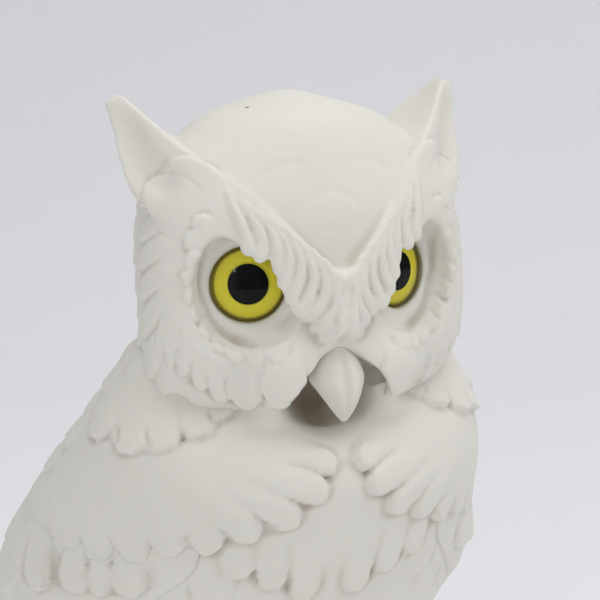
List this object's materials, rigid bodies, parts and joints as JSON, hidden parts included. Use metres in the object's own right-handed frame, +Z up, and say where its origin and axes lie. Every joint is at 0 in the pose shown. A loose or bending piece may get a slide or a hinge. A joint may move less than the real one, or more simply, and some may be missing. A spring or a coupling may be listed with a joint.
{
  "type": "owl figurine",
  "caption": "Free-standing horned owl figurine in white bisque porcelain with inset glass eyes, perched on a stump with a felt underside.",
  "frame": {"origin": "centre of the stump's felt underside, where the figurine rests", "axes": "+Z up, -Y the way the owl faces, +X towards the owl's left side"},
  "size_m": [0.1062, 0.1153, 0.19],
  "materials": {
    "bisque": "matte",
    "eye_glass": "gloss",
    "iris": "gloss",
    "pupil": "gloss",
    "putty": "matte",
    "felt": "matte"
  },
  "bodies": {
    "root": {"head": "bisque", "beak": "bisque", "torso": "bisque", "left_wing": "bisque", "right_wing": "bisque", "tail": "bisque", "left_foot": "bisque", "right_foot": "bisque", "stump": "bisque", "felt_pad": "felt", "left_eye_glass": "eye_glass", "right_eye_glass": "eye_glass", "left_eye_iris": "iris", "right_eye_iris": "iris", "left_eye_pupil": "pupil", "right_eye_pupil": "pupil", "left_eye_putty": "putty", "right_eye_putty": "putty"}
  },
  "joints": []
}
